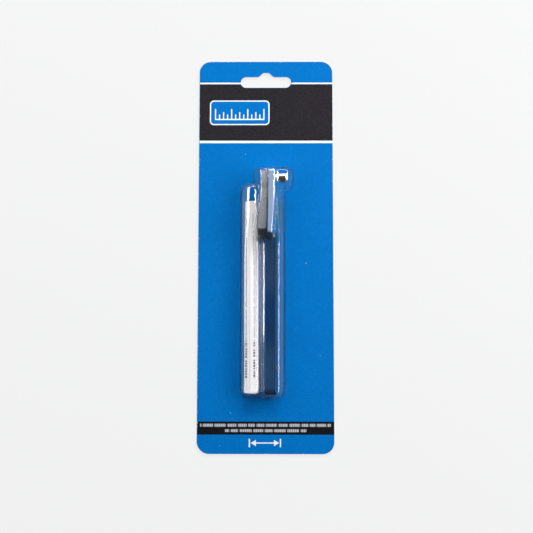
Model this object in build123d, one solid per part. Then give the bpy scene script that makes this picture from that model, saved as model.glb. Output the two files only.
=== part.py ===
from build123d import *
import math
import os

# A chain wear gauge sealed on a display card. Millimetres.
# Frame: the pack lies on the back of its card. +Z comes out of the card's printed
# face, +Y runs along the card to the hang hole, +X is to the right seen from the
# front. The origin is the middle of the back face.

# ---------------------------------------------------------------- card
CARD_W, CARD_H, CARD_R = 82.2, 241.0, 7.0  # each of the two boards
BACK_T, FRONT_T = 0.5, 0.6
SHIFT_X, SHIFT_Y = 0.175, 0.15  # the boards are glued this far out of register
HOLE_W, HOLE_Y0, HOLE_Y1, BUMP_Y = 31.6, 103.9, 110.85, 113.5
WINDOW_GAP = 0.25

# ---------------------------------------------------------------- blister
WALL = 0.35
FLANGE_T = 0.3
FLANGE = (-21.0, 22.0, -93.5, 59.5)  # x0, x1, y0, y1
Z_FLOOR = BACK_T
Z_LEAF, Z_LOW, Z_HEAD, Z_PIN = 11.8, 13.0, 21.0, 18.4  # outer heights
# (foot outline, top outline), counter-clockwise, then the corner radii of each
LEAF = (
    [(-15.3, -87.3), (-2.4, -87.3), (-2.4, 14.0), (0.6, 43.2), (-15.3, 43.2)],
    [(-13.4, -85.8), (-3.8, -85.8), (-3.7, 15.0), (-3.5, 42.2), (-13.4, 42.2)],
    [5.6, 4.5, 5.0, 5.0, 6.0],
    [4.2, 3.6, 5.0, 4.4, 4.8],
)
LOW = (
    [(-4.4, -87.7), (11.72, -87.7), (11.85, 8.0), (11.6, 50.5), (-4.4, 50.5)],
    [(-1.3, -85.6), (8.1, -85.6), (9.1, 6.5), (6.6, 39.0), (-1.3, 39.0)],
    [4.0, 6.0, 9.0, 3.0, 3.0],
    [2.4, 4.2, 9.0, 2.0, 2.0],
)
HEAD = (
    [(-8.6, 4.6), (6.4, 4.6), (8.4, 37.0), (11.0, 53.3), (-6.8, 53.3), (-6.9, 43.0), (-6.0, 35.0), (-12.2, 12.0)],
    [(-2.6, 9.4), (4.2, 9.4), (6.1, 37.6), (5.9, 49.4), (-3.3, 49.4), (-3.2, 41.4), (-2.2, 36.5), (-6.4, 14.4)],
    [3.0, 2.5, 20.0, 3.0, 3.6, 4.0, 4.0, 5.0],
    [1.8, 1.8, 20.0, 1.8, 1.8, 3.0, 3.0, 4.0],
)
PINP = (
    [(2.0, 39.1), (16.9, 39.1), (16.9, 53.6), (2.0, 53.6)],
    [(3.5, 41.0), (14.0, 41.0), (14.0, 49.6), (3.5, 49.6)],
    [2.0, 4.6, 4.8, 2.0],
    [1.8, 2.6, 3.0, 1.8],
)
TOP_FILLET = 1.3

# ---------------------------------------------------------------- leaflet
ROLL_Y0, ROLL_Y1, ROLL_OUT = -83.4, 31.6, 1.1
ROLL_X0, ROLL_X1 = -8.35, -9.15  # axis at the lower and the upper end
ROLL_R0, ROLL_R1 = 4.7, 3.85
ROLL_LAP = 0.28  # step at the free edge of the outer turn
ROLL_BORE0, ROLL_BORE1 = 2.9, 2.3

# ---------------------------------------------------------------- gauge
GAUGE_TURN = -0.33  # degrees about Z, as it lies in its pocket
G_Z0 = 0.6  # underside
BAR_X0, BAR_X1, BAR_TOP = -0.15, 7.05, 10.8
BAR_BEVEL = 1.1  # along the bar's right top edge
BAR_Y0, BAR_Y1 = -85.6, 8.0
PLATE_TOP, PLATE_Y1 = 19.2, 49.2
ARM_TOP = 16.6
ARM_HEAD_TOP = 17.2  # the arm stands higher where the head pin is set in it
ARM_LEFT = -2.65
PIVOT_Y, PIVOT_Z, PIVOT_R = 37.4, 5.4, 1.6
PIN_Y, PIN_Z, PIN_R, PIN_END = 44.8, 13.6, 3.05, 12.7
PIN_START = 7.1  # the grip's inner end, clear of the plate
SLOT_R = 2.45  # half height of the pin's slot through the plate
SHANK_R = 2.1  # shank of the head pin
FOOT_Y, FOOT_Z, FOOT_R, FOOT_END = -70.0, 4.2, 2.3, 7.75
RIVET_HEAD_R, RIVET_HEAD_T = 2.6, 0.55


def rounded(points, radii):
    """Closed outline in XY with each corner rounded by its own radius, as a face."""
    n, cuts = len(points), []
    for i in range(n):
        (ax, ay), (bx, by), (cx, cy) = points[i - 1], points[i], points[(i + 1) % n]
        ux, uy, vx, vy = ax - bx, ay - by, cx - bx, cy - by
        lu, lv = math.hypot(ux, uy), math.hypot(vx, vy)
        ux, uy, vx, vy = ux / lu, uy / lu, vx / lv, vy / lv
        half = math.acos(max(-1.0, min(1.0, ux * vx + uy * vy))) / 2
        d = min(radii[i] / math.tan(half), 0.46 * lu, 0.46 * lv)
        r = d * math.tan(half)
        mx, my = ux + vx, uy + vy
        lm = math.hypot(mx, my)
        far = r / math.sin(half)
        near = far - r
        cuts.append(((bx + ux * d, by + uy * d), (bx + mx / lm * near, by + my / lm * near), (bx + vx * d, by + vy * d)))
    edges = []
    for i in range(n):
        edges.append(ThreePointArc(*cuts[i]))
        edges.append(Line(cuts[i][2], cuts[(i + 1) % n][0]))
    return make_face(edges)


def prism(points, radii, z):
    """Closed outline with rounded corners, as a face at height z."""
    return Pos(0, 0, z) * rounded(points, radii)


def inset(points, by):
    """The same outline, each side moved in by the same distance."""
    out, n = [], len(points)
    for i in range(n):
        (ax, ay), (bx, by_), (cx, cy) = points[i - 1], points[i], points[(i + 1) % n]
        l1, l2 = math.hypot(bx - ax, by_ - ay), math.hypot(cx - bx, cy - by_)
        n1 = (-(by_ - ay) / l1, (bx - ax) / l1)
        n2 = (-(cy - by_) / l2, (cx - bx) / l2)
        k = by / (1 + n1[0] * n2[0] + n1[1] * n2[1])
        out.append((bx + k * (n1[0] + n2[0]), by_ + k * (n1[1] + n2[1])))
    return out


def turn_sign(points, i):
    n = len(points)
    (ax, ay), (bx, by), (cx, cy) = points[i - 1], points[i], points[(i + 1) % n]
    return 1 if (bx - ax) * (cy - by) - (by - ay) * (cx - bx) > 0 else -1


def chamber(spec, top_z, t=0.0):
    """One drafted chamber of the blister: the outer solid, or the hollow for t = wall."""
    foot, top, r_foot, r_top = spec
    z0 = Z_FLOOR - (0.2 if t else 0.0)
    if t:
        r_foot = [max(0.5, r - t * turn_sign(foot, i)) for i, r in enumerate(r_foot)]
        r_top = [max(0.5, r - t * turn_sign(top, i)) for i, r in enumerate(r_top)]
        foot, top = inset(foot, t), inset(top, t)
    body = loft([prism(foot, r_foot, z0), prism(top, r_top, top_z - t)], ruled=True)
    ring = body.edges().group_by(Axis.Z)[-1]
    try:
        done = fillet(ring, TOP_FILLET - t)
        if done.is_valid:
            return done
    except Exception:
        pass
    # where the walls lean too unevenly for a rolled edge, the rounding is three narrow bevels
    r = TOP_FILLET - t
    share = (top_z - t - r - z0) / (top_z - t - z0)
    wide = [(a + (c - a) * share, b + (d - b) * share) for (a, b), (c, d) in zip(foot, top)]
    wide_r = [a + (c - a) * share for a, c in zip(r_foot, r_top)]
    rings = [prism(foot, r_foot, z0)]
    for k in range(4):
        a = math.radians(30 * k)
        by = r * (1 - math.cos(a))
        radii = [max(0.45, q - by * turn_sign(wide, i)) for i, q in enumerate(wide_r)]
        rings.append(prism(inset(wide, by) if by > 1e-9 else wide, radii, top_z - t - r + r * math.sin(a)))
    return loft(rings, ruled=True)


def blister():
    specs = [(LEAF, Z_LEAF), (LOW, Z_LOW), (HEAD, Z_HEAD), (PINP, Z_PIN)]
    outer = inner = None
    for spec, z in specs:
        a, b = chamber(spec, z), chamber(spec, z, WALL)
        outer = a if outer is None else outer + a
        inner = b if inner is None else inner + b
    x0, x1, y0, y1 = FLANGE
    flange = extrude(
        Pos((x0 + x1) / 2, (y0 + y1) / 2, Z_FLOOR) * RectangleRounded(x1 - x0, y1 - y0, 6.0),
        FLANGE_T,
    )
    return (outer + flange) - inner


def foot_outline():
    faces = [rounded(s[0], s[2]) for s in (LEAF, LOW, HEAD, PINP)]
    joined = faces[0]
    for f in faces[1:]:
        joined = joined + f
    return joined


def hang_hole():
    r = (HOLE_Y1 - HOLE_Y0) / 2
    slot = Pos(0, HOLE_Y0 + r) * SlotOverall(HOLE_W, 2 * r)
    bump = rounded(
        [(-9.6, HOLE_Y1 - 2.0), (9.6, HOLE_Y1 - 2.0), (9.6, HOLE_Y1), (4.6, HOLE_Y1), (1.9, BUMP_Y), (-1.9, BUMP_Y),
         (-4.6, HOLE_Y1), (-9.6, HOLE_Y1)],
        [0.3, 0.3, 0.02, 2.6, 1.7, 1.7, 2.6, 0.02],
    )
    return slot + bump


def board(dx, dy, z, t):
    sheet = extrude(Pos(dx, dy, z) * RectangleRounded(CARD_W, CARD_H, CARD_R), t)
    return sheet - extrude(Pos(dx, dy, z - 0.5) * hang_hole(), t + 1.0)


def back_card():
    return board(-SHIFT_X, SHIFT_Y, 0, BACK_T)


def front_card():
    sheet = board(SHIFT_X, -SHIFT_Y, BACK_T, FRONT_T)
    window = extrude(Pos(0, 0, BACK_T - 0.5) * offset(foot_outline(), WINDOW_GAP, kind=Kind.ARC), FRONT_T + 1.0)
    x0, x1, y0, y1 = FLANGE
    g = 0.05
    seat = extrude(
        Pos((x0 + x1) / 2, (y0 + y1) / 2, BACK_T - 0.5)
        * RectangleRounded(x1 - x0 + 2 * g, y1 - y0 + 2 * g, 6.0 + g),
        0.5 + FLANGE_T,
    )
    return sheet - window - seat


def roll_section(r, lap):
    """Outer turn as a slow spiral with a step where the sheet's free edge lies, about the origin in XZ."""
    n, start = 40, math.radians(97)
    pts = []
    for i in range(n + 1):
        a = start + 2 * math.pi * i / n
        rr = r - lap * i / n
        pts.append((rr * math.cos(a), rr * math.sin(a)))
    outer = Spline(*pts)
    step = Line(pts[-1], pts[0])
    return make_face([outer, step])


def leaflet():
    low = Plane(origin=(ROLL_X0, ROLL_Y0, Z_FLOOR + 0.1 + ROLL_R0), x_dir=(1, 0, 0), z_dir=(0, -1, 0))
    high = Plane(origin=(ROLL_X1, ROLL_Y1, Z_FLOOR + 0.1 + ROLL_R1), x_dir=(1, 0, 0), z_dir=(0, -1, 0))
    body = loft([low * roll_section(ROLL_R0, ROLL_LAP), high * roll_section(ROLL_R1, ROLL_LAP)], ruled=True)
    # the inner turns stand out a little at the lower end
    core = extrude(low * Circle(ROLL_R0 - 1.1), ROLL_OUT)
    bore = loft([Pos(0, -ROLL_OUT - 0.1, 0) * (low * Circle(ROLL_BORE0)), Pos(0, 0.1, 0) * (high * Circle(ROLL_BORE1))], ruled=True)
    return body + core - bore


def side_profile(points, radii, x0, x1):
    """A plate on edge: outline in Y and Z, from x0 to x1."""
    face = rounded(points, radii)
    return extrude(Plane(origin=(x0, 0, 0), x_dir=(0, 1, 0), z_dir=(1, 0, 0)) * face, x1 - x0)


def across(y, z, r, x0, x1):
    """A round bar along X."""
    return extrude(Plane(origin=(x0, y, z), x_dir=(0, 1, 0), z_dir=(1, 0, 0)) * Circle(r), x1 - x0)


def in_plan(points, z0, z1):
    return extrude(Pos(0, 0, z0) * make_face(Polyline(*points, close=True)), z1 - z0)


def gauge_body():
    # long handle bar, 7.2 wide, with a rounded foot
    bar = side_profile(
        [(BAR_Y0, G_Z0), (BAR_Y1 + 4, G_Z0), (BAR_Y1 + 4, BAR_TOP), (BAR_Y0, BAR_TOP)],
        [2.6, 0.4, 0.4, 4.0], BAR_X0, BAR_X1,
    )
    ends = [e for e in bar.edges().filter_by(Axis.Y) if e.length > 50 and e.center().X < 1.0]
    bar = fillet(ends, 0.5)
    b = BAR_BEVEL
    across_bar = Plane(origin=(0, BAR_Y1 + 8, 0), x_dir=(1, 0, 0), z_dir=(0, -1, 0))
    corner = make_face(Polyline((BAR_X1 - b, BAR_TOP), (BAR_X1 + 1, BAR_TOP - b - 1), (BAR_X1 + 1, BAR_TOP + 1), (BAR_X1 - b, BAR_TOP + 1), close=True))
    bar = bar - extrude(across_bar * corner, 120)
    # upright plate of the head: rises from the bar in a ramp, thins toward the handle
    plate = side_profile(
        [(-8, G_Z0), (PLATE_Y1, G_Z0), (PLATE_Y1, PLATE_TOP), (11.2, PLATE_TOP), (7.2, BAR_TOP - 0.6), (-8, BAR_TOP - 0.6)],
        [0.4, 3.0, 1.2, 1.2, 2.5, 0.4], -1.0, 8.0,
    )
    plan = in_plan([(1.2, -9), (3.4, -9), (3.6, 11.0), (5.35, 50), (1.5, 50), (1.25, 11.0)], 0, 25)
    plate = plate & plan
    body = bar + plate
    # the arm lies beside the plate, so the bar stops short of it on that side
    body = body - Pos(0, 0, 0) * in_plan([(-3, 7.4), (1.22, 7.4), (1.25, 11), (1.3, 14), (-3, 14)], 0, 25)
    # window that shows the arm's scale
    window = side_profile([(15.0, 7.6), (26.0, 7.6), (26.0, 11.4), (15.0, 11.4)], [1.2] * 4, -3.0, 9.0)
    body = body - window
    # slot for the head pin, a little longer than the pin's travel, and the pivot bore
    slot = side_profile(
        [(PIN_Y - SLOT_R - 0.5, PIN_Z - SLOT_R), (PIN_Y + SLOT_R + 0.3, PIN_Z - SLOT_R),
         (PIN_Y + SLOT_R + 0.3, PIN_Z + SLOT_R), (PIN_Y - SLOT_R - 0.5, PIN_Z + SLOT_R)],
        [2.3] * 4, -3.0, 9.0,
    )
    body = body - slot
    body = body - across(PIVOT_Y, PIVOT_Z, PIVOT_R, -3.0, 9.0)
    body = body - across(FOOT_Y, FOOT_Z, 1.5, BAR_X0 - 1, BAR_X1 + 1)
    return body


def arm_sides(y):
    """The arm's left and right faces at y: it widens toward the thumb end."""
    t = (y - 8.0) / (49.0 - 8.0)
    return ARM_LEFT - max(0.0, 34.0 - y) * 0.125, 0.2 + t * (1.2 - 0.2)


def indicator_arm():
    l0, r0 = arm_sides(8.0)
    l1, r1 = arm_sides(49.0)
    l2 = arm_sides(13.0)[0]
    plan = in_plan(
        [(l2 + 1.5, 7.8), (r0, 7.8), (r0, 8.0), (r1, 49.0), (l1, 49.0), (l1, 34.0), (l2, 13.0), (l2 + 0.05, 10.6), (l2 + 0.5, 9.0)],
        0, 25,
    )
    side = side_profile(
        [(49.0, 2.0), (49.0, ARM_HEAD_TOP), (41.4, ARM_HEAD_TOP), (38.0, ARM_TOP), (13.4, ARM_TOP), (7.8, 9.8), (7.8, 8.4),
         (14.0, 7.6), (29.0, 6.4), (32.0, 1.4)],
        [4.0, 1.2, 3.0, 3.0, 1.4, 0.6, 0.5, 4.0, 3.0, 2.0], -8.0, 4.0,
    )
    arm = plan & side
    arm = arm - across(PIVOT_Y, PIVOT_Z, PIVOT_R, -8, 4)
    arm = arm - across(PIN_Y, PIN_Z, 1.7, -8, 4)
    # seat for the washer round the pivot
    x_face = arm_sides(PIVOT_Y)[1]
    arm = arm - across(PIVOT_Y, PIVOT_Z, 3.3, x_face - 0.35, 4)
    # five scale marks on the face that slides past the body's window
    for k in range(5):
        y = 17.0 + 1.75 * k
        xf = arm_sides(y)[1]
        h = 3.4 if k % 2 == 0 else 2.2
        arm = arm - Pos(xf, y, 9.5) * Box(0.5, 0.3, h)
    return arm


def head_pin():
    # grip end with rounded rims, then a shank through the plate's slot into the arm
    grip = across(PIN_Y, PIN_Z, PIN_R, PIN_START, PIN_END)
    grip = fillet(grip.edges().group_by(Axis.X)[-1], 1.1)
    grip = fillet(grip.edges().group_by(Axis.X)[0], 0.7)
    shank = across(PIN_Y, PIN_Z, SHANK_R, 1.6, PIN_START + 0.3)
    tail = across(PIN_Y, PIN_Z, 1.7, arm_sides(PIN_Y)[0] + 0.3, 1.7)
    return grip + shank + tail


def foot_pin():
    pin = across(FOOT_Y, FOOT_Z, FOOT_R, BAR_X1 + 0.02, FOOT_END)
    pin = chamfer(pin.edges().group_by(Axis.X)[-1], 0.25)
    return pin + across(FOOT_Y, FOOT_Z, 1.5, BAR_X0 + 0.2, BAR_X1 + 0.3)


def pivot_rivet():
    left = arm_sides(PIVOT_Y)[0] - 0.02
    # the plate's right face at the pivot
    right = 3.6 + (PIVOT_Y - 11.0) / 39.0 * 1.75 + 0.13
    rivet = across(PIVOT_Y, PIVOT_Z, PIVOT_R, left - 0.2, right + 0.2)
    for x0, x1, pick in ((left - RIVET_HEAD_T, left, 0), (right, right + RIVET_HEAD_T, -1)):
        head = across(PIVOT_Y, PIVOT_Z, RIVET_HEAD_R, x0, x1)
        head = fillet(head.edges().group_by(Axis.X)[pick], 0.35)
        rivet = rivet + head
    return rivet


def pivot_washer():
    x_face = arm_sides(PIVOT_Y)[1]
    x0, x1 = x_face - 0.33, 1.38
    ring = across(PIVOT_Y, PIVOT_Z, 3.1, x0, x1)
    return ring - across(PIVOT_Y, PIVOT_Z, PIVOT_R, x0 - 1, x1 + 1)


def lay(shape):
    """Gauge pieces lie turned a little in their pocket."""
    return Rot(0, 0, GAUGE_TURN) * shape


PARTS = {
    "back_card": back_card,
    "front_card": front_card,
    "clear_blister": blister,
    "rolled_leaflet": leaflet,
    "gauge_body": lambda: lay(gauge_body()),
    "indicator_arm": lambda: lay(indicator_arm()),
    "head_pin": lambda: lay(head_pin()),
    "foot_pin": lambda: lay(foot_pin()),
    "pivot_rivet": lambda: lay(pivot_rivet()),
    "pivot_washer": lambda: lay(pivot_washer()),
}

os.makedirs("parts", exist_ok=True)
for name, make in PARTS.items():
    shape = make()
    export_step(shape, os.path.join("parts", name + ".step"))
    print(name, "solids", len(shape.solids()), "volume", round(shape.volume, 1), "valid", shape.is_valid)
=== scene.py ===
import math

import bpy
import numpy as np
from mathutils import Matrix, Vector


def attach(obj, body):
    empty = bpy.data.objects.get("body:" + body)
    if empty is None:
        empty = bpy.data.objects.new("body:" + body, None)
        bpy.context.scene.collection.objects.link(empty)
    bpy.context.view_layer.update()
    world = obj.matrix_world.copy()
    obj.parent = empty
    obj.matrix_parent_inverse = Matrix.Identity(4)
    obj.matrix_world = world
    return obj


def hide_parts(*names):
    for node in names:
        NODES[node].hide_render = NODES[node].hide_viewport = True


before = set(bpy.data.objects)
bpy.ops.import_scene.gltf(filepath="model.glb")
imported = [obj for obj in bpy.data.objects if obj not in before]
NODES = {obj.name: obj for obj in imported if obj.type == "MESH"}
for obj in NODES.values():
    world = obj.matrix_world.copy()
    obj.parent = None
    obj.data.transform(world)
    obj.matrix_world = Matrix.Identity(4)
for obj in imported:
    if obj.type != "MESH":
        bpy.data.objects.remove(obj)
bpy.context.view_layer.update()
MM = 0.001


# ------------------------------------------------------------------ camera
def make_camera():
    data = bpy.data.cameras.new("camera")
    data.sensor_width = 36.0
    data.lens = 66.68
    data.clip_start = 0.01
    cam = bpy.data.objects.new("camera", data)
    bpy.context.scene.collection.objects.link(cam)
    turn = (
        Matrix.Rotation(math.radians(5.9411), 4, "X")
        @ Matrix.Rotation(math.radians(0.4601), 4, "Y")
        @ Matrix.Rotation(math.radians(0.0217), 4, "Z")
    )
    cam.matrix_world = Matrix.Translation((5.3487 * MM, -70.1499 * MM, 600.0 * MM)) @ turn
    bpy.context.scene.camera = cam
    return cam


make_camera()


# ------------------------------------------------------------------ light
def softbox(name, at, aim, size, power, colour=(1, 1, 1), only_gloss=False):
    data = bpy.data.lights.new(name, "AREA")
    data.shape = "RECTANGLE"
    data.size, data.size_y = size
    data.energy = power
    data.color = colour
    lamp = bpy.data.objects.new(name, data)
    bpy.context.scene.collection.objects.link(lamp)
    z = (Vector(at) - Vector(aim)).normalized()
    y = Vector((0, 1, 0)) - z * z.y
    if y.length < 0.05:
        y = Vector((0, 0, 1)) - z * z.z
    y.normalize()
    x = y.cross(z)
    m = Matrix((x, y, z)).transposed().to_4x4()
    lamp.matrix_world = Matrix.Translation(at) @ m
    if only_gloss:
        lamp.visible_diffuse = False
        lamp.visible_transmission = False
        lamp.visible_volume_scatter = False
    return lamp


softbox("softbox_right", (0.70, 0.24, 0.46), (0.0, 0.0, 0.0), (0.36, 0.9), 7.9)
softbox("softbox_left", (-0.64, 0.16, 0.54), (0.0, 0.0, 0.0), (0.26, 0.9), 2.7)
softbox("softbox_top", (0.10, 0.80, 0.56), (0.0, 0.02, 0.0), (0.8, 0.30), 8.6)
# white strips that only show in shiny surfaces
softbox("strip_right", (0.68, 0.16, 0.44), (0.0, 0.0, 0.0), (0.40, 1.25), 11.5, only_gloss=True)
softbox("strip_left", (-0.60, 0.34, 0.50), (0.0, 0.0, 0.0), (0.32, 0.80), 9.6, only_gloss=True)
softbox("pane_right", (0.415, 0.183, 0.72), (0.0, 0.03, 0.012), (0.20, 0.06), 2.6, only_gloss=True)


def make_world():
    world = bpy.data.worlds.new("studio")
    bpy.context.scene.world = world
    world.use_nodes = True
    t = world.node_tree
    t.nodes.clear()
    out = t.nodes.new("ShaderNodeOutputWorld")
    bg = t.nodes.new("ShaderNodeBackground")
    co = t.nodes.new("ShaderNodeTexCoord")
    sep = t.nodes.new("ShaderNodeSeparateXYZ")
    t.links.new(co.outputs["Generated"], sep.inputs[0])
    shades = []
    for stops in (
        # what lights matt surfaces
        ((0.0, (0.23, 0.26, 0.33, 1)), (0.35, (0.18, 0.20, 0.25, 1)), (1.0, (0.09, 0.10, 0.12, 1))),
        # what shiny surfaces mirror: bright walls of the tent low down, dark overhead
        ((0.0, (1.12, 1.32, 1.50, 1)), (0.18, (0.76, 0.90, 1.02, 1)), (0.40, (0.32, 0.38, 0.43, 1)),
         (0.70, (0.11, 0.127, 0.14, 1)), (1.0, (0.035, 0.035, 0.036, 1))),
    ):
        ramp = t.nodes.new("ShaderNodeValToRGB")
        el = ramp.color_ramp.elements
        el[0].position, el[0].color = stops[0]
        el[1].position, el[1].color = stops[-1]
        for at, c in stops[1:-1]:
            el.new(at).color = c
        t.links.new(sep.outputs["Z"], ramp.inputs["Fac"])
        shades.append(ramp.outputs["Color"])
    path = t.nodes.new("ShaderNodeLightPath")
    pick = t.nodes.new("ShaderNodeMix")
    pick.data_type = "RGBA"
    t.links.new(path.outputs["Is Glossy Ray"], pick.inputs["Factor"])
    t.links.new(shades[0], pick.inputs[6])
    # the near end of the tent is open, so it mirrors dark
    open_end = t.nodes.new("ShaderNodeMapRange")
    open_end.inputs["From Min"].default_value, open_end.inputs["From Max"].default_value = -0.85, -0.25
    open_end.inputs["To Min"].default_value, open_end.inputs["To Max"].default_value = 0.38, 1.0
    t.links.new(sep.outputs["Y"], open_end.inputs["Value"])
    dim = t.nodes.new("ShaderNodeVectorMath")
    dim.operation = "SCALE"
    t.links.new(shades[1], dim.inputs[0])
    t.links.new(open_end.outputs[0], dim.inputs["Scale"])
    t.links.new(dim.outputs[0], pick.inputs[7])
    t.links.new(pick.outputs[2], bg.inputs["Color"])
    bg.inputs["Strength"].default_value = 1.0
    t.links.new(bg.outputs[0], out.inputs[0])


make_world()
bpy.context.scene.view_settings.view_transform = "Standard"
bpy.context.scene.view_settings.look = "None"


# ------------------------------------------------------------------ node helpers
def lin(r, g, b, k=1.0):
    """Screen colour, 0 to 255, as linear light."""
    out = []
    for c in (r, g, b):
        c = c / 255.0
        c = c / 12.92 if c <= 0.04045 else ((c + 0.055) / 1.055) ** 2.4
        out.append(c * k)
    return (*out, 1.0)


class Tree:
    """A material's node tree, built from short steps."""

    def __init__(self, name):
        self.mat = bpy.data.materials.new(name)
        self.mat.use_nodes = True
        self.t = self.mat.node_tree
        self.t.nodes.clear()
        self.out = self.new("ShaderNodeOutputMaterial")

    def new(self, kind, **props):
        node = self.t.nodes.new(kind)
        for k, v in props.items():
            setattr(node, k, v)
        return node

    def put(self, socket, value):
        if isinstance(value, bpy.types.NodeSocket):
            self.t.links.new(value, socket)
        elif value is not None:
            if hasattr(socket.default_value, "__len__") and not hasattr(value, "__len__"):
                value = (value,) * len(socket.default_value)
            socket.default_value = value

    def op(self, kind, a, b=None, c=None, clamp=False):
        node = self.new("ShaderNodeMath", operation=kind, use_clamp=clamp)
        for i, v in enumerate((a, b, c)):
            if v is not None:
                self.put(node.inputs[i], v)
        return node.outputs[0]

    def add(self, a, b):
        return self.op("ADD", a, b)

    def sub(self, a, b):
        return self.op("SUBTRACT", a, b)

    def mul(self, a, b):
        return self.op("MULTIPLY", a, b)

    def top(self, *v):
        out = v[0]
        for x in v[1:]:
            out = self.op("MAXIMUM", out, x)
        return out

    def mix(self, fac, a, b, blend="MIX"):
        node = self.new("ShaderNodeMix", data_type="RGBA", blend_type=blend)
        self.put(node.inputs["Factor"], fac)
        self.put(node.inputs[6], a)
        self.put(node.inputs[7], b)
        return node.outputs[2]

    def remap(self, v, a0, a1, b0, b1, smooth=False):
        node = self.new("ShaderNodeMapRange", interpolation_type="SMOOTHSTEP" if smooth else "LINEAR")
        for i, x in enumerate((v, a0, a1, b0, b1)):
            self.put(node.inputs[i], x)
        return node.outputs[0]

    def place(self):
        """Object coordinates in millimetres, and their three parts."""
        co = self.new("ShaderNodeTexCoord")
        k = self.new("ShaderNodeVectorMath", operation="SCALE")
        self.put(k.inputs[0], co.outputs["Object"])
        k.inputs["Scale"].default_value = 1000.0
        sep = self.new("ShaderNodeSeparateXYZ")
        self.put(sep.inputs[0], k.outputs[0])
        return k.outputs[0], sep.outputs[0], sep.outputs[1], sep.outputs[2]

    def stretch(self, vec, sx, sy, sz):
        node = self.new("ShaderNodeVectorMath", operation="MULTIPLY")
        self.put(node.inputs[0], vec)
        node.inputs[1].default_value = (sx, sy, sz)
        return node.outputs[0]

    def noise(self, vec, scale, detail=2.0, rough=0.5):
        node = self.new("ShaderNodeTexNoise")
        self.put(node.inputs["Vector"], vec)
        node.inputs["Scale"].default_value = scale
        node.inputs["Detail"].default_value = detail
        node.inputs["Roughness"].default_value = rough
        return node.outputs[0]

    def cells(self, vec, scale, feature="F1", dims="3D", random=1.0):
        node = self.new("ShaderNodeTexVoronoi", feature=feature, voronoi_dimensions=dims)
        if dims == "1D":
            self.put(node.inputs["W"], vec)
        else:
            self.put(node.inputs["Vector"], vec)
        node.inputs["Scale"].default_value = scale
        node.inputs["Randomness"].default_value = random
        return node

    def facing_up(self):
        g = self.new("ShaderNodeNewGeometry")
        sep = self.new("ShaderNodeSeparateXYZ")
        self.put(sep.inputs[0], g.outputs["Normal"])
        return sep.outputs[2]

    def band(self, v, a, b, soft=0.06):
        """1 between a and b, with a short soft edge."""
        up = self.remap(v, a - soft, a + soft, 0.0, 1.0)
        down = self.remap(v, b - soft, b + soft, 1.0, 0.0)
        return self.mul(up, down)

    def rect(self, x, y, x0, x1, y0, y1, soft=0.06):
        return self.mul(self.band(x, x0, x1, soft), self.band(y, y0, y1, soft))

    def round_rect(self, x, y, cx, cy, w, h, r):
        """Signed distance to a rounded rectangle, negative inside."""
        dx = self.sub(self.op("ABSOLUTE", self.sub(x, cx)), w / 2 - r)
        dy = self.sub(self.op("ABSOLUTE", self.sub(y, cy)), h / 2 - r)
        px, py = self.top(dx, 0.0), self.top(dy, 0.0)
        far = self.op("SQRT", self.add(self.mul(px, px), self.mul(py, py)))
        near = self.op("MINIMUM", self.top(dx, dy), 0.0)
        return self.sub(self.add(far, near), r)

    def inside(self, d, soft=0.06):
        return self.remap(d, -soft, soft, 1.0, 0.0)

    def spot(self, x, y, cx, cy, r):
        dx, dy = self.sub(x, cx), self.sub(y, cy)
        d = self.op("SQRT", self.add(self.mul(dx, dx), self.mul(dy, dy)))
        return self.remap(d, r * 0.6, r * 1.3, 1.0, 0.0)

    def bump(self, height, strength, distance):
        node = self.new("ShaderNodeBump")
        self.put(node.inputs["Height"], height)
        node.inputs["Strength"].default_value = strength
        node.inputs["Distance"].default_value = distance
        return node.outputs[0]

    def shader(self, colour, rough, metal=0.0, normal=None, coat=0.0, coat_rough=0.1, spec=0.5, aniso=0.0, sheen=0.0):
        p = self.new("ShaderNodeBsdfPrincipled")
        self.put(p.inputs["Base Color"], colour)
        self.put(p.inputs["Roughness"], rough)
        self.put(p.inputs["Metallic"], metal)
        p.inputs["Coat Weight"].default_value = coat
        p.inputs["Coat Roughness"].default_value = coat_rough
        p.inputs["Specular IOR Level"].default_value = spec
        p.inputs["Anisotropic"].default_value = aniso
        p.inputs["Sheen Weight"].default_value = sheen
        if normal is not None:
            self.put(p.inputs["Normal"], normal)
        self.put(self.out.inputs["Surface"], p.outputs[0])
        return p


def dress(name, mat):
    ob = NODES[name]
    ob.data.materials.clear()
    ob.data.materials.append(mat)


# ------------------------------------------------------------------ floor
def make_floor():
    n = 2.5
    mesh = bpy.data.meshes.new("floor")
    mesh.from_pydata([(-n, -n, -0.0001), (n, -n, -0.0001), (n, n, -0.0001), (-n, n, -0.0001)], [], [(0, 1, 2, 3)])
    ob = bpy.data.objects.new("floor", mesh)
    bpy.context.scene.collection.objects.link(ob)
    t = Tree("floor")
    dif = t.new("ShaderNodeBsdfDiffuse")
    dif.inputs["Color"].default_value = (0.11, 0.11, 0.111, 1)
    glow = t.new("ShaderNodeEmission")
    glow.inputs["Color"].default_value = (1, 1, 1, 1)
    glow.inputs["Strength"].default_value = 0.765
    both = t.new("ShaderNodeAddShader")
    t.put(both.inputs[0], dif.outputs[0])
    t.put(both.inputs[1], glow.outputs[0])
    t.put(t.out.inputs["Surface"], both.outputs[0])
    mesh.materials.append(t.mat)


make_floor()

# ------------------------------------------------------------------ card
CARD_W, CARD_H, CARD_R = 82.2, 241.0, 7.0
SHIFT_X, SHIFT_Y = 0.175, 0.15
CHARCOAL = lin(44, 42, 44, 0.9)
INK = lin(22, 23, 28, 0.9)
WHITE = (0.70, 0.84, 0.92, 1.0)
CORE = (0.72, 0.79, 0.83, 1.0)


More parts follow.
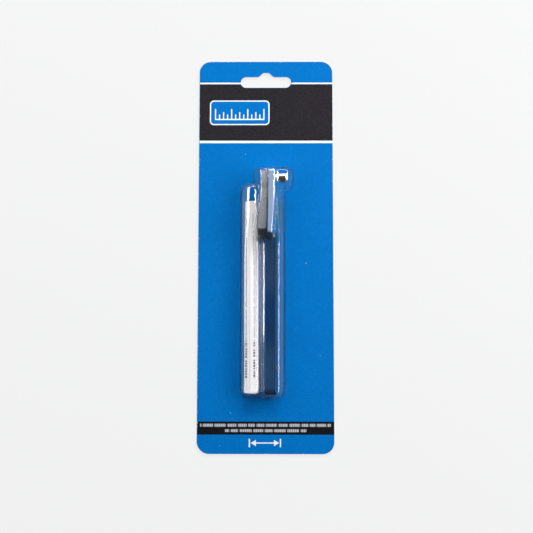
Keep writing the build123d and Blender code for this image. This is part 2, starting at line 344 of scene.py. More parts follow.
def greeked(t, x, y, x0, x1, y_mid, height, words, letters, seed):
    """A row of plain blocks of uneven length, as unreadable filler in place of a line of text."""
    shifted = t.add(x, seed)
    word = t.cells(shifted, words, "DISTANCE_TO_EDGE", "1D").outputs["Distance"]
    letter = t.cells(shifted, letters, "DISTANCE_TO_EDGE", "1D", 0.45).outputs["Distance"]
    gap_w = t.remap(word, 0.055, 0.085, 0.0, 1.0)
    gap_l = t.remap(letter, 0.07, 0.16, 0.25, 1.0)
    return t.mul(t.mul(gap_w, gap_l), t.rect(x, y, x0, x1, y_mid - height / 2, y_mid + height / 2, 0.12))


def card_colour(t, x, y, vec, front):
    grain = t.noise(vec, 1.5, 3.0, 0.65)
    cloud = t.noise(vec, 0.05, 2.0, 0.5)
    blue = t.mix(t.remap(grain, 0.34, 0.66, 0.0, 1.0), lin(1, 102, 177, 0.88), lin(1, 121, 199, 0.88))
    blue = t.mix(t.remap(cloud, 0.3, 0.7, 0.0, 0.35), blue, lin(1, 106, 181, 0.88))
    if not front:
        return blue, grain
    wob = t.remap(t.noise(vec, 0.8, 3.0, 0.6), 0.0, 1.0, -0.11, 0.11)
    yy = t.add(y, wob)
    fleck = t.cells(vec, 0.85).outputs["Distance"]
    fleck = t.mul(t.remap(fleck, 0.05, 0.12, 1.0, 0.0), t.remap(t.noise(vec, 0.9), 0.52, 0.6, 0.0, 1.0))
    char = t.mix(t.remap(grain, 0.3, 0.7, 0.0, 1.0), lin(31, 29, 32, 0.9), lin(47, 45, 48, 0.9))
    char = t.mix(t.mul(fleck, 0.35), char, lin(110, 112, 108))
    white = t.mix(t.remap(grain, 0.3, 0.7, 0.0, 1.0), (0.69, 0.735, 0.74, 1), (0.77, 0.80, 0.80, 1))

    # generic panel on the dark field: a blue label with a plain ruler scale
    panel = t.round_rect(x, y, -16.2, 88.0, 37.0, 15.6, 2.6)
    frame_line = t.mul(t.inside(panel), t.remap(panel, -0.78, -0.68, 0.0, 1.0))
    ticks = None
    for k in range(13):
        cx = -31.2 + 2.5 * k
        h = 6.4 if k % 4 == 0 else (4.4 if k % 2 == 0 else 2.9)
        one = t.rect(x, y, cx - 0.34, cx + 0.34, 84.0, 84.0 + h, 0.07)
        ticks = one if ticks is None else t.top(ticks, one)
    base = t.rect(x, y, -31.54, -0.86, 83.4, 84.2, 0.07)
    marks = t.top(ticks, base, frame_line)
    char = t.mix(t.inside(panel), char, blue)
    char = t.mix(marks, char, white)

    # bottom band with two rows of filler
    ink = t.mix(t.remap(grain, 0.3, 0.7, 0.0, 1.0), lin(15, 16, 20, 0.9), lin(25, 26, 31, 0.9))
    rows = t.top(
        greeked(t, x, y, -39.2, 39.2, -103.6, 1.75, 0.16, 0.72, 211.3),
        greeked(t, x, y, -24.2, 24.6, -106.8, 1.65, 0.15, 0.76, 547.9),
    )
    ink = t.mix(t.mul(rows, 0.62), ink, lin(215, 217, 222))

    colour = t.mix(t.band(yy, 70.3, 106.15), blue, char)
    colour = t.mix(t.top(t.band(yy, 68.8, 70.35), t.band(yy, 106.15, 107.15)), colour, white)
    colour = t.mix(t.band(yy, -109.2, -101.4), colour, ink)

    # a plain dimension arrow low on the card
    line = t.rect(x, y, -8.6, 8.0, -114.1 - 0.36, -114.1 + 0.36, 0.07)
    stops = t.top(
        t.rect(x, y, -10.0, -9.2, -116.6, -111.6, 0.07), t.rect(x, y, 8.6, 9.4, -116.6, -111.6, 0.07)
    )
    ay = t.op("ABSOLUTE", t.sub(y, -114.1))
    heads = None
    for tip, way in ((-8.7, 1.0), (8.1, -1.0)):
        along = t.mul(t.sub(x, tip), way)
        inside = t.remap(t.sub(ay, t.mul(along, 0.62)), -0.07, 0.07, 1.0, 0.0)
        one = t.mul(inside, t.band(along, 0.0, 3.0, 0.07))
        heads = one if heads is None else t.top(heads, one)
    colour = t.mix(t.top(line, stops, heads), colour, white)

    # small marks of handling
    spots = None
    for cx, cy, r in ((24.6, -5.7, 0.32), (25.1, -6.1, 0.2), (-21.0, -96.3, 0.3), (-27.4, -115.6, 0.24), (-12.6, 61.8, 0.3), (33.0, -62.0, 0.2)):
        one = t.spot(x, y, cx, cy, r)
        spots = one if spots is None else t.top(spots, one)
    colour = t.mix(t.mul(spots, 0.42), colour, (0.35, 0.68, 0.90, 1))
    return colour, grain


def card_material(name, front):
    t = Tree(name)
    vec, x, y, z = t.place()
    colour, grain = card_colour(t, x, y, vec, front)
    # board core shows on the cut edges, and in flecks where the rim is worn
    sx, sy = (SHIFT_X, -SHIFT_Y) if front else (-SHIFT_X, SHIFT_Y)
    d = t.round_rect(x, y, sx, sy, CARD_W, CARD_H, CARD_R)
    wear = t.noise(vec, 0.55, 3.0, 0.7)
    deep = t.remap(wear, 0.60, 0.80, -0.02, 0.75)
    rim = t.remap(t.add(d, deep), -0.05, 0.10, 0.0, 1.0)
    side = t.remap(t.op("ABSOLUTE", t.facing_up()), 0.4, 0.7, 1.0, 0.0)
    edge = t.mix(t.remap(t.noise(vec, 2.2, 3.0), 0.35, 0.65, 0.0, 1.0), CORE, lin(120, 160, 205))
    colour = t.mix(t.mul(rim, 0.85), colour, WHITE)
    colour = t.mix(side, colour, edge)
    fine = t.noise(vec, 6.0, 2.0)
    broad = t.noise(vec, 0.35, 2.0)
    height = t.add(t.mul(fine, 0.2), t.mul(broad, 0.8))
    rough = t.remap(grain, 0.2, 0.8, 0.42, 0.56)
    t.shader(colour, rough, normal=t.bump(height, 0.12, 0.0002), spec=0.02)
    return t.mat


dress("front_card", card_material("printed_board", True))
dress("back_card", card_material("back_board", False))


# ------------------------------------------------------------------ blister
WALL, Z_FLOOR, FLANGE_T = 0.35, 0.5, 0.3
FLANGE = (-21.0, 22.0, -93.5, 59.5)
# foot outline, top outline, corner radius at foot and at top, outer height
CHAMBERS = {
    "leaflet": (
        [(-15.3, -87.3), (-2.4, -87.3), (-2.4, 14.0), (0.6, 43.2), (-15.3, 43.2)],
        [(-13.4, -85.8), (-3.8, -85.8), (-3.9, 15.0), (-4.1, 42.2), (-13.4, 42.2)],
        5.6, 4.5, 11.8,
    ),
    "low": (
        [(-4.4, -87.7), (11.72, -87.7), (11.85, 10.5), (-4.4, 10.5)],
        [(-2.0, -85.9), (8.55, -85.9), (8.7, 7.4), (-2.0, 7.4)],
        5.0, 3.6, 13.0,
    ),
    "shoulder": (
        [(-4.4, -2.0), (11.85, -2.0), (11.85, 8.0), (11.6, 50.5), (-4.4, 50.5)],
        [(-1.4, 1.0), (8.3, 1.0), (8.75, 6.5), (6.9, 39.0), (-1.4, 39.0)],
        3.0, 1.6, 12.75,
    ),
    "head": (
        [(-6.8, 4.0), (6.4, 4.6), (8.4, 37.0), (11.0, 53.3), (-6.8, 53.3), (-6.7, 44.6), (-3.9, 38.0), (-7.9, 12.0)],
        [(-4.2, 8.6), (4.2, 9.4), (6.1, 37.6), (5.9, 49.4), (-3.4, 49.4), (-3.35, 41.4), (-3.0, 36.5), (-6.3, 14.4)],
        3.2, 1.8, 21.0,
    ),
    "pin": (
        [(2.0, 39.1), (16.9, 39.1), (16.9, 53.6), (2.0, 53.6)],
        [(3.5, 41.0), (14.0, 41.0), (14.0, 49.6), (3.5, 49.6)],
        4.7, 2.6, 18.4,
    ),
}


def ease(v):
    v = np.clip(v, 0.0, 1.0)
    return v * v * (3 - 2 * v)


def edge_radius(name, x, y):
    """Radius of a chamber's rolled top edge: the leaflet's is full at its upper end, the bar's tighter on the right."""
    if name == "leaflet":
        return 1.9 + (3.0 - 1.7 * ease((x + 10.5) / 3.0)) * ease((y + 2.0) / 24.0)
    if name == "low":
        return 1.9 - 0.6 * ease((x - 2.0) / 5.0)
    return {"shoulder": 0.6, "head": 1.2, "pin": 1.7}[name]


def inset(points, by):
    """The same outline, each side moved in by the same distance."""
    out, n = [], len(points)
    for i in range(n):
        (ax, ay), (bx, by_), (cx, cy) = points[i - 1], points[i], points[(i + 1) % n]
        l1, l2 = math.hypot(bx - ax, by_ - ay), math.hypot(cx - bx, cy - by_)
        n1 = (-(by_ - ay) / l1, (bx - ax) / l1)
        n2 = (-(cy - by_) / l2, (cx - bx) / l2)
        k = by / (1 + n1[0] * n2[0] + n1[1] * n2[1])
        out.append((bx + k * (n1[0] + n2[0]), by_ + k * (n1[1] + n2[1])))
    return np.array(out)


def outline_distance(px, py, verts):
    """Signed distance in plan to a closed outline, negative inside; verts is (n, 2, ...) to broadcast with px."""
    n = len(verts)
    best = np.full(np.shape(px), 1e9)
    sign = np.ones(np.shape(px))
    for i in range(n):
        ax, ay = verts[i]
        bx, by = verts[i - 1]
        ex, ey = bx - ax, by - ay
        wx, wy = px - ax, py - ay
        k = np.clip((wx * ex + wy * ey) / (ex * ex + ey * ey), 0, 1)
        dx, dy = wx - ex * k, wy - ey * k
        best = np.minimum(best, dx * dx + dy * dy)
        c1, c2, c3 = py >= ay, py < by, ex * wy > ey * wx
        flip = (c1 & c2 & c3) | (~c1 & ~c2 & ~c3)
        sign = np.where(flip, -sign, sign)
    return sign * np.sqrt(best)


READY = {}
for _name, (_foot, _top, _rf, _rt, _z) in CHAMBERS.items():
    READY[_name] = (inset(_foot, _rf), inset(_top, _rt), _rf, _rt, _z)


def both(a, b, r):
    """Meeting of two fields, its outer edge rolled to radius r."""
    u, v = a + r, b + r
    return np.minimum(np.maximum(u, v), 0) + np.hypot(np.maximum(u, 0), np.maximum(v, 0)) - r


def either(a, b, r):
    """Union of two fields with a fillet of radius r in the valley."""
    return -both(-a, -b, r)


def chamber_field(name, x, y, z):
    foot, top, rf, rt, z1 = READY[name]
    t = np.clip((z - Z_FLOOR) / (z1 - Z_FLOOR), 0.0, 1.02)
    verts = [(foot[i, 0] + (top[i, 0] - foot[i, 0]) * t, foot[i, 1] + (top[i, 1] - foot[i, 1]) * t) for i in range(len(foot))]
    side = outline_distance(x, y, verts) - (rf + (rt - rf) * t)
    return both(side, z - z1, edge_radius(name, x, y))


def shell_field(x, y, z):
    f = chamber_field("leaflet", x, y, z)
    f = either(f, either(chamber_field("low", x, y, z), chamber_field("shoulder", x, y, z), 0.7), 1.1)
    f = either(f, chamber_field("head", x, y, z), 1.0 - 0.7 * ease((x + 1.0) / 3.0))
    f = either(f, chamber_field("pin", x, y, z), 1.3)
    return either(f, z - (Z_FLOOR + FLANGE_T), 0.55)


def steps(stops):
    """Grid lines from (from, to, spacing) runs."""
    out = []
    for a, b, s in stops:
        n = max(1, round((b - a) / s))
        out += list(np.linspace(a, b, n, endpoint=False))
    out.append(stops[-1][1])
    return np.array(out)


def net(fx, xs, ys, zs):
    """Closed-form surface of fx = 0 on a grid of lines: one point in each crossed cell, joined into quads."""
    nx, ny, nz = len(xs), len(ys), len(zs)
    f = np.empty((nx, ny, nz))
    gx, gy = np.meshgrid(xs, ys, indexing="ij")
    for k in range(nz):
        f[:, :, k] = fx(gx, gy, np.full_like(gx, zs[k]))
    neg = f < 0
    acc = np.zeros((nx - 1, ny - 1, nz - 1, 3))
    cnt = np.zeros((nx - 1, ny - 1, nz - 1))
    axes = (xs, ys, zs)
    for ax in range(3):
        lo = [slice(None)] * 3
        hi = [slice(None)] * 3
        lo[ax], hi[ax] = slice(None, -1), slice(1, None)
        a, b = f[tuple(lo)], f[tuple(hi)]
        cross = (a < 0) != (b < 0)
        i, j, k = np.nonzero(cross)
        t = a[i, j, k] / (a[i, j, k] - b[i, j, k])
        idx = [i, j, k]
        pos = np.stack([axes[d][idx[d]] for d in range(3)], 1).astype(float)
        pos[:, ax] += t * (axes[ax][idx[ax] + 1] - axes[ax][idx[ax]])
        others = [d for d in range(3) if d != ax]
        for s0 in (0, -1):
            for s1 in (0, -1):
                c = [i.copy(), j.copy(), k.copy()]
                c[others[0]] = c[others[0]] + s0
                c[others[1]] = c[others[1]] + s1
                ok = np.ones(len(i), bool)
                for d, m in enumerate((nx - 1, ny - 1, nz - 1)):
                    ok &= (c[d] >= 0) & (c[d] < m)
                np.add.at(acc, (c[0][ok], c[1][ok], c[2][ok]), pos[ok])
                np.add.at(cnt, (c[0][ok], c[1][ok], c[2][ok]), 1)
    used = cnt > 0
    number = -np.ones(cnt.shape, int)
    number[used] = np.arange(used.sum())
    points = acc[used] / cnt[used][:, None]
    quads = []
    for ax in range(3):
        lo = [slice(None)] * 3
        hi = [slice(None)] * 3
        lo[ax], hi[ax] = slice(None, -1), slice(1, None)
        a, b = neg[tuple(lo)], neg[tuple(hi)]
        i, j, k = np.nonzero(a != b)
        o = [d for d in range(3) if d != ax]
        idx = [i, j, k]
        ok = np.ones(len(i), bool)
        for d in o:
            ok &= (idx[d] >= 1) & (idx[d] < (nx, ny, nz)[d] - 1)
        idx = [v[ok] for v in idx]
        inside_low = a[i[ok], j[ok], k[ok]]
        corner = []
        for s0, s1 in ((-1, -1), (0, -1), (0, 0), (-1, 0)):
            c = [v.copy() for v in idx]
            c[o[0]] = c[o[0]] + s0
            c[o[1]] = c[o[1]] + s1
            corner.append(number[c[0], c[1], c[2]])
        q = np.stack(corner, 1)
        # the outside is on the far side when the low end is inside
        turn = inside_low if ax != 1 else ~inside_low
        q = np.where(turn[:, None], q, q[:, ::-1])
        quads.append(q)
    return points, np.concatenate(quads)


def gradient(fx, p, h=0.02):
    g = np.empty_like(p)
    for d in range(3):
        a, b = p.copy(), p.copy()
        a[:, d] += h
        b[:, d] -= h
        g[:, d] = (fx(*a.T) - fx(*b.T)) / (2 * h)
    return g


def settle(fx, p, times=4, lock=None):
    """Moves the points onto fx = 0."""
    for _ in range(times):
        g = gradient(fx, p)
        v = fx(*p.T)
        step = (v / np.maximum((g * g).sum(1), 1e-6))[:, None] * g
        n = np.linalg.norm(step, axis=1, keepdims=True)
        step *= np.minimum(1.0, 0.5 / np.maximum(n, 1e-9))
        if lock is not None:
            step[lock] *= (0, 0, 1)
        p = p - step
    return p


def mesh_object(name, points_mm, faces, normals=None, smooth=True):
    mesh = bpy.data.meshes.new(name)
    mesh.from_pydata((np.asarray(points_mm) * MM).tolist(), [], [list(map(int, f)) for f in faces])
    mesh.update()
    if smooth:
        mesh.polygons.foreach_set("use_smooth", [True] * len(mesh.polygons))
    if normals is not None:
        mesh.normals_split_custom_set_from_vertices(np.asarray(normals).tolist())
    ob = bpy.data.objects.new(name, mesh)
    bpy.context.scene.collection.objects.link(ob)
    return ob


def make_blister():
    x0, x1, y0, y1 = FLANGE
    xs = steps([(x0 - 0.01, -16.4, 1.5), (-16.4, -2.8, 0.44), (-2.8, 0.6, 0.3), (0.6, 6.6, 0.44), (6.6, 9.6, 0.27), (9.6, 12.6, 0.44), (12.6, 17.8, 0.5), (17.8, x1 + 0.01, 1.4)])
    ys = steps([(y0 - 0.01, -89.0, 1.1), (-89.0, -80.0, 0.45), (-80.0, 2.0, 1.6), (2.0, 19.0, 0.5), (19.0, 33.0, 1.0), (33.0, 55.0, 0.46), (55.0, y1 + 0.01, 1.1)])
    zs = steps([(-0.2, 2.2, 0.4), (2.2, 7.2, 0.62), (7.2, 10.6, 0.49), (10.6, 13.4, 0.31), (13.4, 21.9, 0.49)])
    points, quads = net(shell_field, xs, ys, zs)
    # the rim of the flange lies on the outline's lines
    lo, hi = points[:, :2].min(0), points[:, :2].max(0)
    rim = np.zeros(len(points), bool)
    for d, (a, b) in enumerate(((x0, x1), (y0, y1))):
        near_lo, near_hi = points[:, d] < lo[d] + 1e-6, points[:, d] > hi[d] - 1e-6
        points[near_lo, d], points[near_hi, d] = a, b
        rim |= near_lo | near_hi
    points = settle(shell_field, points, 4, rim)
    a, b = np.concatenate([quads[:, i] for i in range(4)]), np.concatenate([quads[:, (i + 1) % 4] for i in range(4)])
    for _ in range(3):
        total, count = np.zeros_like(points), np.zeros(len(points))
        np.add.at(total, a, points[b])
        np.add.at(count, a, 1)
        even = total / count[:, None]
        points[~rim] = 0.5 * points[~rim] + 0.5 * even[~rim]
        points = settle(shell_field, points, 3, rim)
    # rounded corners of the flange
    r = 6.0
    for cx, cy, sx, sy in ((x0 + r, y0 + r, -1, -1), (x1 - r, y0 + r, 1, -1), (x1 - r, y1 - r, 1, 1), (x0 + r, y1 - r, -1, 1)):
        u, v = (points[:, 0] - cx) * sx, (points[:, 1] - cy) * sy
        sel = (u > 0) & (v > 0) & (points[:, 2] < Z_FLOOR + FLANGE_T + 0.05)
        k = np.maximum(u, v) / np.maximum(np.hypot(u, v), 1e-9)
        points[sel, 0] = cx + (u * k * sx)[sel]
        points[sel, 1] = cy + (v * k * sy)[sel]
    g = gradient(shell_field, points)
    normal = g / np.maximum(np.linalg.norm(g, axis=1, keepdims=True), 1e-9)
    rise = np.clip((points[:, 2] - 0.8) / 2.0, 0, 1)
    wall = FLANGE_T + (WALL - FLANGE_T) * rise
    inner = points - normal * wall[:, None]
    n = len(points)
    # quads face outwards
    a, b, c = points[quads[:, 0]], points[quads[:, 1]], points[quads[:, 2]]
    facing = (np.cross(b - a, c - a) * normal[quads[:, 0]]).sum(1)
    quads = np.where((facing < 0)[:, None], quads[:, ::-1], quads)
    ends = {}
    for q in quads:
        for i in range(4):
            e = (q[i], q[(i + 1) % 4])
            ends[e] = True
    border = [e for e in ends if (e[1], e[0]) not in ends]
    faces = quads.tolist() + (quads[:, ::-1] + n).tolist()
    faces += [(b, a, a + n, b + n) for a, b in border]
    ob = mesh_object("clear_shell", np.concatenate([points, inner]), faces, np.concatenate([normal, -normal]))
    return ob, len(border)


def film_material():
    t = Tree("clear_film")
    vec, x, y, z = t.place()
    lw = t.new("ShaderNodeLayerWeight")
    lw.inputs["Blend"].default_value = 0.5
    facing = lw.outputs["Facing"]
    wave = t.add(t.mul(t.noise(t.stretch(vec, 1.0, 0.16, 1.0), 0.13, 1.0), 0.8), t.mul(t.noise(vec, 0.5, 1.0), 0.008))
    normal = t.bump(wave, 0.15, 0.0006)
    t.put(lw.inputs["Normal"], normal)
    fresnel = t.add(t.mul(t.op("POWER", facing, 5.0), 0.74), 0.034)
    clear = t.new("ShaderNodeBsdfTransparent")
    # the film is thin where seen square on, and a longer way through where it leans
    path = t.op("MINIMUM", t.sub(t.op("DIVIDE", 1.0, t.sub(1.08, facing)), 0.9), 2.9)
    # painted shade: where the bar's pocket steps up to the head's, the film is made rougher, less reflective and
    # warmer-tinted to dim its highlight and darken the view through
    highlight_dimming = t.mul(t.mul(t.band(y, 12.0, 33.0, 3.0), t.band(x, 6.0, 10.9, 0.9)), t.remap(z, 14.0, 13.0, 0.0, 1.0))
    # strip between leaflet and bar where the film is made clearer and its cloud bluer, part of the painted shade of the
    # leaflet's flank
    trough = t.rect(x, y, -4.6, -1.2, -90.0, 8.0, 0.4)
    path = t.mul(path, t.sub(1.0, t.mul(trough, 0.75)))
    seen = t.new("ShaderNodeCombineColor")
    for i, part in enumerate((0.958, 0.966, 0.945)):
        t.put(seen.inputs[i], t.op("POWER", part, path))
    t.put(clear.inputs["Color"], t.mix(highlight_dimming, seen.outputs[0], (1.0, 0.95, 0.85, 1), blend="MULTIPLY"))
    gloss = t.new("ShaderNodeBsdfGlossy")
    gloss.inputs["Color"].default_value = (1, 1, 1, 1)
    t.put(gloss.inputs["Roughness"], t.add(t.mul(highlight_dimming, 0.10), 0.055))
    t.put(gloss.inputs["Normal"], normal)
    haze_and_sheen = t.new("ShaderNodeBsdfDiffuse")
    t.put(haze_and_sheen.inputs["Color"], t.mix(trough, (0.74, 0.87, 0.92, 1), (0.58, 0.70, 1.0, 1)))
    # two lighter lines round each chamber, part way up the wall and below the rolled edge, made as cloudy film: painted
    # reflections of the lamps
    line = t.mul(t.band(z, 6.6, 9.0, 0.7), t.remap(facing, 0.55, 0.75, 0.0, 0.06))
    line = t.mul(line, t.sub(1.0, t.mul(trough, 0.85)))
    # lighter band on the leaflet chamber's left wall: painted reflection of the left lamp
    left = t.mul(t.band(z, 7.2, 10.6, 0.8), t.mul(t.remap(x, -13.0, -13.5, 0.0, 0.15), t.remap(y, 30.0, 38.0, 1.0, 0.0)))
    # and in the valley between leaflet and bar: painted shade, a pale bluish band standing in for the leaflet's flank
    # in shade
    valley_flank_shade = t.mul(t.mul(t.remap(x, -4.5, -4.0, 0.0, 1.0), t.remap(x, -4.0, -2.2, 0.28, 0.03)), t.mul(t.remap(y, -70.0, -25.0, 0.15, 1.0), t.remap(y, 2.0, 8.0, 1.0, 0.0)))
    valley_flank_shade = t.mul(valley_flank_shade, t.remap(x, -2.0, -1.7, 1.0, 0.0))
    # lighter line where the wall leans about sixty degrees: painted reflection of the lamps
    lamp_reflection_ring = t.mul(t.band(facing, 0.46, 0.54, 0.04), 0.035)
    veil = t.new("ShaderNodeMixShader")
    t.put(veil.inputs[0], t.add(t.add(t.mul(t.op("POWER", facing, 2.0), 0.021), 0.002), t.add(line, t.add(lamp_reflection_ring, t.add(left, valley_flank_shade)))))
    t.put(veil.inputs[1], clear.outputs[0])
    t.put(veil.inputs[2], haze_and_sheen.outputs[0])
    both_ = t.new("ShaderNodeMixShader")
    # painted highlight: the film is made more reflective over the bar's left edge to brighten its highlight, and less
    # over the leaflet's left side to dim the highlight there
    painted_glint = t.mul(t.rect(x, y, -2.1, 0.7, -50.0, 4.0, 0.6), 1.3)
    dimmed_glint = t.mul(t.rect(x, y, -13.2, -8.6, -80.0, 30.6, 0.5), 0.55)
    amount = t.sub(t.add(1.0, painted_glint), t.add(dimmed_glint, t.mul(highlight_dimming, 0.62)))
    t.put(both_.inputs[0], t.mul(fresnel, amount))
    t.put(both_.inputs[1], veil.outputs[0])
    t.put(both_.inputs[2], gloss.outputs[0])
    t.put(t.out.inputs["Surface"], both_.outputs[0])
    return t.mat


shell, rim_edges = make_blister()
shell.data.materials.append(film_material())
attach(shell, "root")
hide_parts("clear_blister")

# ------------------------------------------------------------------ leaflet
ROLL_Y0, ROLL_Y1 = -83.4, 31.6
ROLL_X0, ROLL_X1, ROLL_R0, ROLL_R1 = -8.4, -9.25, 4.68, 3.72


def taper(w):
    """The roll is nearly even and tightens toward its upper end."""
    return 0.25 * w + 0.75 * float(ease((w - 0.55) / 0.45))


def make_leaflet():
    """A sheet rolled into a tube, with its free edge on top and uneven ends."""
    turns, seg, rows = 6.0, 60, 46
    pitch, paper = 0.27, 0.13
    n = int(turns * seg)
    start = math.radians(97)
    pts, uv = [], []
    for j in range(rows + 1):
        v = j / rows
        v = v * v * (3 - 2 * v) * 0.35 + v * 0.65
        for i in range(n + 1):
            turn = i / seg
            a = start - 2 * math.pi * turn
            low = -0.75 * min(1.0, turn) - 0.30 * math.sin(a * 1.0 + 0.6) - 0.12 * math.sin(2.3 * turn)
            high = 0.30 * math.sin(a + 2.0) - 0.10 * turn
            y0, y1 = ROLL_Y0 + low, ROLL_Y1 + high
            y = y0 + (y1 - y0) * v
            w = (y - ROLL_Y0) / (ROLL_Y1 - ROLL_Y0)
            k = taper(w)
            cx = ROLL_X0 + (ROLL_X1 - ROLL_X0) * k
            r = ROLL_R0 + (ROLL_R1 - ROLL_R0) * k - pitch * turn
            # the outer turns lie a little square in their pocket
            square = (abs(math.cos(a)) ** 2.7 + abs(math.sin(a)) ** 2.7) ** (-1 / 2.7)
            r *= 1.0 + (square - 1.0) * max(0.0, 1.0 - turn / 3.0)
            r += 0.035 * math.sin(3 * a + 1.3 * w * 6) + 0.02 * math.sin(5 * a + 4.0 * w)
            lift = 0.16 * math.exp(-turn * 16.0)
            cz = Z_FLOOR + 0.12 + ROLL_R0 + (ROLL_R1 - ROLL_R0) * k
            pts.append((cx + (r + lift) * math.cos(a), y, cz + (r + lift) * math.sin(a)))
            uv.append((turn * 2 * math.pi * 4.4, y))
    pts = np.array(pts)
    width = n + 1
    grid = pts.reshape(rows + 1, width, 3)
    du = np.gradient(grid, axis=1)
    dv = np.gradient(grid, axis=0)
    nor = np.cross(dv, du)
    nor /= np.linalg.norm(nor, axis=2, keepdims=True)
    centre = grid.copy()
    wy = (grid[..., 1] - ROLL_Y0) / (ROLL_Y1 - ROLL_Y0)
    wy = 0.25 * wy + 0.75 * ease((wy - 0.55) / 0.45)
    centre[..., 0] = ROLL_X0 + (ROLL_X1 - ROLL_X0) * wy
    centre[..., 2] = Z_FLOOR + 0.12 + ROLL_R0 + (ROLL_R1 - ROLL_R0) * wy
    flip = ((grid - centre) * nor).sum(2, keepdims=True) < 0
    nor = np.where(flip, -nor, nor)
    inner = grid - nor * paper
    both_sides = np.concatenate([grid.reshape(-1, 3), inner.reshape(-1, 3)])
    m = len(pts)
    faces, ids = [], np.arange(m).reshape(rows + 1, width)
    for j in range(rows):
        for i in range(n):
            a, b, c, d = ids[j, i], ids[j, i + 1], ids[j + 1, i + 1], ids[j + 1, i]
            faces.append((a, b, c, d))
            faces.append((a + m, d + m, c + m, b + m))
    for j in range(rows):
        for i in (0, n):
            a, b = ids[j, i], ids[j + 1, i]
            faces.append((a, b, b + m, a + m) if i == 0 else (b, a, a + m, b + m))
    for i in range(n):
        for j in (0, rows):
            a, b = ids[j, i], ids[j, i + 1]
            faces.append((b, a, a + m, b + m) if j == 0 else (a, b, b + m, a + m))
    # outward winding of the outer skin
    a, b, c = (both_sides[faces[0][k]] for k in range(3))
    if np.dot(np.cross(b - a, c - a), nor.reshape(-1, 3)[faces[0][0]]) < 0:
        faces = [f[::-1] for f in faces]
    ob = mesh_object("leaflet_roll", both_sides, faces, np.concatenate([nor.reshape(-1, 3), -nor.reshape(-1, 3)]))
    layer = ob.data.uv_layers.new(name="sheet")
    uv = np.array(uv + uv)
    side = np.zeros(len(ob.data.loops), int)
    ob.data.loops.foreach_get("vertex_index", side)
    layer.data.foreach_set("uv", (uv[side] * 0.01).ravel())
    return ob


def paper_material():
    t = Tree("leaflet_paper")
    vec, x, y, z = t.place()
    m = t.new("ShaderNodeUVMap", uv_map="sheet")
    sep = t.new("ShaderNodeSeparateXYZ")
    t.put(sep.inputs[0], m.outputs[0])
    u, v = t.mul(sep.outputs[0], 100.0), t.mul(sep.outputs[1], 100.0)
    fibre = t.noise(vec, 3.0, 3.0, 0.6)
    streak = t.noise(t.stretch(vec, 1.0, 0.012, 1.0), 1.35, 2.0)
    paper = t.mix(t.remap(fibre, 0.3, 0.7, 0.0, 1.0), (0.94, 0.895, 0.905, 1), (0.99, 0.95, 0.955, 1))
    paper = t.mix(t.mul(t.remap(streak, 0.42, 0.62, 0.0, 1.0), t.band(v, -82.0, 24.0, 1.5)), paper, (0.84, 0.79, 0.805, 1))
    marks = None
    for at, seed, lo, hi, wide in ((25.0, 3.1, -76.5, 24.0, 0.14), (2.2, 9.7, -76.5, 24.0, 0.02)):
        shifted = t.add(v, 500.0 + seed * 13.0)
        dots = t.cells(shifted, 0.66, "DISTANCE_TO_EDGE", "1D", 0.6).outputs["Distance"]
        dots = t.remap(dots, 0.12, 0.22, 0.0, 1.0)
        words = t.cells(shifted, 0.16, "DISTANCE_TO_EDGE", "1D", 1.0).outputs["Distance"]
        words = t.remap(words, 0.05, 0.09, 0.0, 1.0)
        bold = t.band(v, -77.5, -54.0, 0.4)
        half = t.add(0.28 + wide, t.mul(bold, 0.20))
        across = t.remap(t.sub(t.op("ABSOLUTE", t.sub(u, at)), half), -0.08, 0.08, 1.0, 0.0)
        strength = t.add(0.74, t.mul(bold, 0.24))
        one = t.mul(t.mul(t.mul(dots, words), t.mul(across, strength)), t.band(v, lo, hi, 0.3))
        marks = one if marks is None else t.top(marks, one)
    paper = t.mix(marks, paper, lin(40, 38, 42))
    t.shader(paper, 0.62, normal=t.bump(fibre, 0.15, 0.00015), spec=0.3)
    return t.mat


leaf = make_leaflet()
leaf.data.materials.append(paper_material())
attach(leaf, "root")
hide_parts("rolled_leaflet")


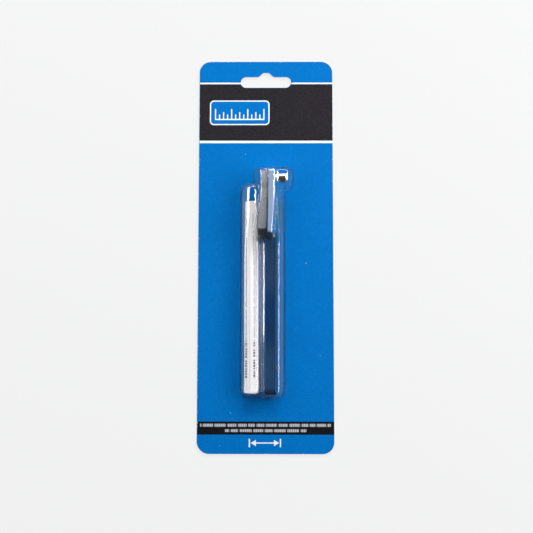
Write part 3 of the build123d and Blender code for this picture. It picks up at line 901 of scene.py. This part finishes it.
# ------------------------------------------------------------------ gauge
def body_material():
    t = Tree("dark_steel")
    vec, x, y, z = t.place()
    g = t.noise(vec, 5.0, 3.0, 0.6)
    brush = t.noise(t.stretch(vec, 3.0, 0.10, 3.0), 1.6, 3.0, 0.6)
    tone = t.noise(t.stretch(vec, 0.3, 1.0, 0.3), 0.035, 1.0)
    dark = t.mix(t.remap(brush, 0.3, 0.7, 0.0, 1.0), (0.016, 0.066, 0.175, 1), (0.028, 0.100, 0.255, 1))
    teal_reflection = t.mix(t.remap(brush, 0.3, 0.7, 0.0, 1.0), (0.0, 0.040, 0.140, 1), (0.001, 0.058, 0.200, 1))
    # painted reflection: the bar is darker toward the head and teal over its middle, blurred reflections painted into
    # its colour
    dark = t.mix(t.remap(y, -24.0, 2.0, 0.0, 0.42), dark, (0.004, 0.016, 0.040, 1))
    middle = t.mul(t.remap(y, -15.0, -30.0, 0.0, 1.0, True), t.remap(y, -62.0, -50.0, 0.0, 1.0, True))
    dark = t.mix(middle, dark, teal_reflection)
    # a bevel runs along the bar's right edge, painted darker: painted shade of the narrow gap beside the bar
    dark = t.mix(t.mul(t.remap(x, 5.0, 5.4, 0.0, 0.85), t.remap(y, 12.0, 8.0, 0.0, 1.0)), dark, (0.007, 0.034, 0.070, 1))
    dark = t.mix(t.remap(tone, 0.4, 0.7, 0.0, 0.25), dark, (0.03, 0.03, 0.045, 1))
    # nickel of the head, tinted blue: painted reflection of the blue card
    nickel_blue_reflection = t.mix(t.remap(brush, 0.3, 0.7, 0.0, 1.0), (0.27, 0.37, 0.58, 1), (0.39, 0.485, 0.665, 1))
    head = t.top(t.remap(y, 11.6, 12.6, 0.0, 1.0, True), t.remap(z, 18.3, 18.9, 0.0, 1.0))
    # painted shade: the bar's foot end is darkened near black, so it catches no highlight
    dark = t.mix(t.remap(y, -83.2, -84.6, 0.0, 0.96), dark, (0.002, 0.012, 0.045, 1))
    colour = t.mix(head, dark, nickel_blue_reflection)
    rough = t.remap(g, 0.3, 0.7, 0.30, 0.44)
    t.shader(colour, rough, metal=0.85, normal=t.bump(t.add(t.mul(g, 0.3), brush), 0.25, 0.00012), spec=0.2)
    return t.mat


def arm_material():
    t = Tree("blasted_steel")
    vec, x, y, z = t.place()
    grit = t.noise(vec, 3.4, 4.0, 0.75)
    pits = t.cells(vec, 2.4).outputs["Distance"]
    mottle = t.noise(vec, 1.1, 2.0, 0.6)
    colour = t.mix(t.remap(grit, 0.32, 0.68, 0.0, 1.0), (0.145, 0.140, 0.146, 1), (0.36, 0.350, 0.362, 1))
    colour = t.mix(t.remap(mottle, 0.40, 0.64, 0.0, 0.55), colour, (0.085, 0.082, 0.088, 1))
    # painted shade: darker toward the arm's lower end, and near black on its sloping end face
    end_shade = t.remap(y, 36.0, 15.0, 0.0, 0.62, True)
    colour = t.mix(end_shade, colour, (0.10, 0.115, 0.14, 1))
    end_shade = t.remap(t.add(y, t.mul(z, 0.3)), 18.3, 17.4, 0.0, 0.94, True)
    colour = t.mix(end_shade, colour, (0.016, 0.018, 0.024, 1))
    height = t.add(t.mul(grit, 0.8), t.mul(pits, 0.4))
    t.shader(colour, t.remap(grit, 0.3, 0.7, 0.48, 0.62), metal=0.55, normal=t.bump(height, 0.6, 0.0003), spec=0.4)
    return t.mat


def chrome_material(name, tint, rough):
    t = Tree(name)
    vec, x, y, z = t.place()
    rings = t.noise(t.stretch(vec, 6.0, 0.4, 0.4), 1.2, 2.0)
    t.shader(t.mix(t.remap(rings, 0.3, 0.7, 0.0, 1.0), tint, tuple(min(1.0, c * 1.08) for c in tint[:3]) + (1,)),
             t.remap(rings, 0.3, 0.7, rough * 0.8, rough * 1.3), metal=1.0, normal=t.bump(rings, 0.12, 0.0001))
    return t.mat


def grip_material():
    """Bright plating, dull over the lower middle of the grip, where a dark brown patch and a brownish lower band are
    painted reflection of dark surroundings.
    """
    t = Tree("bright_steel")
    vec, x, y, z = t.place()
    rings = t.noise(t.stretch(vec, 6.0, 0.4, 0.4), 1.2, 2.0)
    # painted reflection of dark surroundings: a brownish band low on the grip and a dark brown patch on its lower
    # middle
    reflection_patch = t.mul(t.rect(x, y, 8.8, 11.8, 41.4, 44.3, 0.5), t.remap(z, 13.0, 14.2, 0.0, 1.0))
    low = t.mul(t.remap(y, 44.9, 44.2, 0.0, 0.45), t.remap(x, 7.4, 8.0, 0.0, 1.0))
    colour = t.mix(t.remap(rings, 0.3, 0.7, 0.0, 1.0), (0.70, 0.69, 0.68, 1), (0.78, 0.77, 0.76, 1))
    colour = t.mix(low, colour, (0.30, 0.25, 0.20, 1))
    colour = t.mix(t.mul(reflection_patch, 0.9), colour, (0.085, 0.066, 0.058, 1))
    rough = t.add(t.remap(rings, 0.3, 0.7, 0.13, 0.20), t.mul(reflection_patch, 0.20))
    t.shader(colour, rough, metal=1.0, normal=t.bump(rings, 0.12, 0.0001))
    return t.mat


dress("gauge_body", body_material())
dress("indicator_arm", arm_material())
dress("head_pin", grip_material())
dress("foot_pin", chrome_material("dark_pin", (0.22, 0.24, 0.28, 1), 0.25))
dress("pivot_rivet", chrome_material("rivet_steel", (0.55, 0.56, 0.58, 1), 0.28))
dress("pivot_washer", chrome_material("washer_brass", (0.72, 0.55, 0.28, 1), 0.30))

# ------------------------------------------------------------------ sizes
print("shell", len(shell.data.polygons), "faces, rim", rim_edges, "leaflet", len(leaf.data.polygons))
